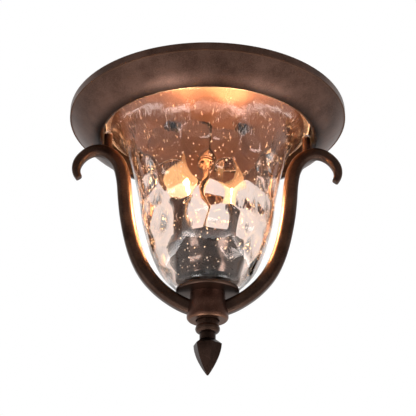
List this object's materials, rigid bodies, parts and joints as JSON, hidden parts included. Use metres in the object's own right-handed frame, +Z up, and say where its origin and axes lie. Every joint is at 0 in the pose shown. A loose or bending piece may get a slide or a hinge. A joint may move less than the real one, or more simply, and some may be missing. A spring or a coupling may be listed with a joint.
{
  "type": "flush mount ceiling light",
  "caption": "Ceiling light with a round pan, candle bulbs on a stem, and a hammered glass bell in a cage of hooked arms held up by a threaded finial.",
  "frame": {"origin": "on the light's axis in the ceiling plane, at the middle of the crossbar's two screw slots", "axes": "+Z up into the ceiling along the stem, +X along the plane of the arms, -Y towards the viewer"},
  "size_m": [0.33, 0.33, 0.3178],
  "materials": {
    "bronze": "dark burnished bronze, satin",
    "zinc_steel": "zinc plated",
    "brass": "plain",
    "hammered_glass": "clear, hammered and seeded",
    "bulb_glass": "clear, lit",
    "bulb_mount_glass": "clear",
    "filament_wire": "glowing tungsten",
    "gasket_rubber": "matt",
    "clear_bumper": "clear, soft",
    "socket_phenolic": "moulded",
    "wire_jacket": "jacketed lead"
  },
  "bodies": {
    "fixture": {"pan": "bronze", "crossbar": "zinc_steel", "mounting_studs": "zinc_steel", "cap_nuts": "bronze", "ground_screw": "brass", "stem": "zinc_steel", "pan_nut_upper": "zinc_steel", "pan_washer": "zinc_steel", "pan_nut_lower": "zinc_steel", "cluster_cup": "bronze", "cluster_cover": "bronze", "cluster_nut": "zinc_steel", "stop_nut": "zinc_steel", "socket_nuts": "zinc_steel", "lead_wires": "wire_jacket", "socket_left": "socket_phenolic", "socket_right": "socket_phenolic", "socket_shell_left": "brass", "socket_shell_right": "brass", "candle_sleeve_left": "bronze", "candle_sleeve_right": "bronze"},
    "cage": {"glass_bell": "hammered_glass", "glass_gasket_upper": "gasket_rubber", "glass_gasket_lower": "gasket_rubber", "dish": "bronze", "hub": "bronze", "arm_left": "bronze", "arm_right": "bronze", "post_left": "bronze", "post_right": "bronze", "bumper_left": "clear_bumper", "bumper_right": "clear_bumper"},
    "collar": {"finial_collar": "bronze"},
    "finial": {"finial": "bronze"},
    "contact_left": {"socket_contact_left": "brass"},
    "bulb_left": {"bulb_cap_left": "brass", "bulb_glass_left": "bulb_glass", "bulb_mount_left": "bulb_mount_glass", "bulb_filament_left": "filament_wire"},
    "contact_right": {"socket_contact_right": "brass"},
    "bulb_right": {"bulb_cap_right": "brass", "bulb_glass_right": "bulb_glass", "bulb_mount_right": "bulb_mount_glass", "bulb_filament_right": "filament_wire"}
  },
  "joints": [
    {"name": "cage_lower", "type": "slide", "parent": "fixture", "child": "cage", "axis": [0, 0, -1], "range_m": [0, 0.27]},
    {"name": "collar_travel", "type": "slide", "parent": "cage", "child": "collar", "axis": [0, 0, -1], "range_m": [0, 0.0094]},
    {"name": "finial_turn", "type": "hinge", "parent": "collar", "child": "finial", "pos_m": [0, 0, -0.29], "axis": [0, 0, -1], "range_deg": [0, 3600]},
    {"name": "contact_left_rise", "type": "slide", "parent": "fixture", "child": "contact_left", "axis": [0, 0, 1], "range_m": [0, 0.00254]},
    {"name": "bulb_left_turn", "type": "hinge", "parent": "contact_left", "child": "bulb_left", "pos_m": [-0.02819, -0.01026, -0.125], "axis": [0, 0, 1], "range_deg": [0, 360]},
    {"name": "contact_right_rise", "type": "slide", "parent": "fixture", "child": "contact_right", "axis": [0, 0, 1], "range_m": [0, 0.00254]},
    {"name": "bulb_right_turn", "type": "hinge", "parent": "contact_right", "child": "bulb_right", "pos_m": [0.02819, 0.01026, -0.125], "axis": [0, 0, 1], "range_deg": [0, 360]}
  ],
  "couplings": [
    {"joint": "finial_turn", "follows": "collar_travel", "rad_per_m": 6684},
    {"joint": "bulb_left_turn", "follows": "contact_left_rise", "rad_per_m": 2473.6},
    {"joint": "bulb_right_turn", "follows": "contact_right_rise", "rad_per_m": 2473.6}
  ]
}
